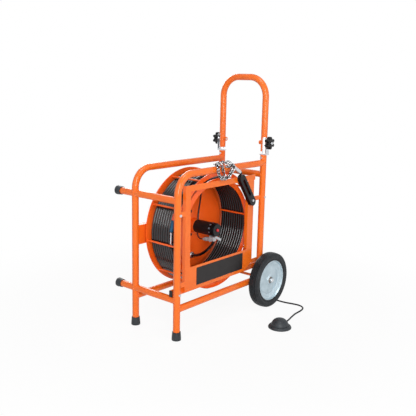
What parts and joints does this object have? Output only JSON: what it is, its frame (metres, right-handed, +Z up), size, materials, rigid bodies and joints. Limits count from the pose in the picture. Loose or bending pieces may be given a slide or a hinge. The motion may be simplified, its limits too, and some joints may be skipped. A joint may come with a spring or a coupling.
{
  "type": "drain cleaning machine",
  "caption": "Wheeled drain cleaning machine: tube cart with a folding handle, cage reel of wound flexible shaft, motor on the reel axis and an air foot pedal on a hose.",
  "frame": {"origin": "on the floor, in the middle of the cart's footprint", "axes": "+Z up, +X towards the wheels and handle, -Y towards the front panel"},
  "size_m": [0.712, 0.6257, 1.0508],
  "materials": {
    "orange_paint": "gloss",
    "zinc": "bright zinc",
    "steel": "machined",
    "bronze": "plain",
    "black_rubber": "matte",
    "tyre": "matte",
    "black_plastic": "satin",
    "sheath": "smooth",
    "blue_plastic": "smooth",
    "orange_plastic": "smooth",
    "red_plastic": "smooth"
  },
  "bodies": {
    "cart": {"side_frame_near": "orange_paint", "side_frame_far": "orange_paint", "rear_post_near": "orange_paint", "rear_post_far": "orange_paint", "lower_rail_near": "orange_paint", "lower_rail_far": "orange_paint", "cross_tube_lower": "orange_paint", "cross_tube_upper": "orange_paint", "rear_cross_tube": "orange_paint", "front_panel": "orange_paint", "guard_bar": "orange_paint", "reel_beam": "orange_paint", "axle": "orange_paint", "handle_bracket_near": "zinc", "handle_bracket_far": "zinc", "frame_bolts": "zinc", "knocker_collar": "zinc", "knocker_chains": "zinc", "axle_caps": "zinc", "spindle_retainer": "zinc", "spindle": "steel", "horn_caps": "black_rubber", "rubber_feet": "black_rubber", "tool_strap": "black_rubber", "pedal_base": "black_rubber", "pedal_hose": "black_rubber", "hose_drop": "black_rubber", "hose_coil": "black_rubber", "guard_bar_plugs": "black_plastic", "air_switch": "black_plastic"},
    "reel": {"back_dish": "orange_paint", "near_outer_ring": "orange_paint", "near_inner_ring": "orange_paint", "outer_rods": "orange_paint", "inner_rods": "orange_paint", "reel_hub": "steel", "hub_bushes": "bronze", "motor_boss": "orange_paint", "motor_housing": "black_plastic", "motor_end_cap": "black_plastic", "shaft_core": "sheath", "flex_shaft": "sheath", "lead_hose": "sheath", "lead_clip": "zinc", "shaft_ferrule": "zinc", "shaft_sleeve": "blue_plastic", "shaft_bit": "orange_plastic", "motor_cable": "black_plastic", "coupling_cable": "black_plastic", "coupling_bracket": "zinc"},
    "coupling": {"drive_coupling": "zinc"},
    "button": {"reset_button": "red_plastic"},
    "wheel_near": {"tyre_near": "tyre", "wheel_near": "zinc"},
    "wheel_far": {"tyre_far": "tyre", "wheel_far": "zinc"},
    "handle": {"handle_tube": "orange_paint"},
    "knob_near": {"knob_near": "black_plastic"},
    "knob_far": {"knob_far": "black_plastic"},
    "pedal": {"pedal_dome": "black_rubber"}
  },
  "joints": [
    {"name": "reel_spin", "type": "hinge", "parent": "cart", "child": "reel", "pos_m": [-0.058, -0.01785, 0.397], "axis": [0, 1, 0], "continuous": true},
    {"name": "coupling_spin", "type": "hinge", "parent": "reel", "child": "coupling", "pos_m": [-0.058, -0.07385, 0.3525], "axis": [0, 0.9848, -0.1736], "continuous": true},
    {"name": "button_press", "type": "slide", "parent": "reel", "child": "button", "axis": [0, 1, 0], "range_m": [0, 0.003], "stiffness_N_per_m": 900, "springref_m": -0.001},
    {"name": "wheel_near_roll", "type": "hinge", "parent": "cart", "child": "wheel_near", "pos_m": [0.229, -0.1814, 0.127], "axis": [0, 1, 0], "continuous": true},
    {"name": "wheel_far_roll", "type": "hinge", "parent": "cart", "child": "wheel_far", "pos_m": [0.229, 0.1814, 0.127], "axis": [0, 1, 0], "continuous": true},
    {"name": "handle_fold", "type": "hinge", "parent": "cart", "child": "handle", "pos_m": [0.217, -0.01785, 0.754], "axis": [0, -1, 0], "range_deg": [0, 90]},
    {"name": "knob_near_turn", "type": "hinge", "parent": "handle", "child": "knob_near", "pos_m": [0.217, -0.16785, 0.754], "axis": [0, 1, 0], "continuous": true},
    {"name": "knob_far_turn", "type": "hinge", "parent": "handle", "child": "knob_far", "pos_m": [0.217, 0.13215, 0.754], "axis": [0, 1, 0], "continuous": true},
    {"name": "pedal_press", "type": "slide", "parent": "cart", "child": "pedal", "axis": [0, 0, -1], "range_m": [0, 0.007], "stiffness_N_per_m": 3000, "springref_m": -0.002}
  ]
}
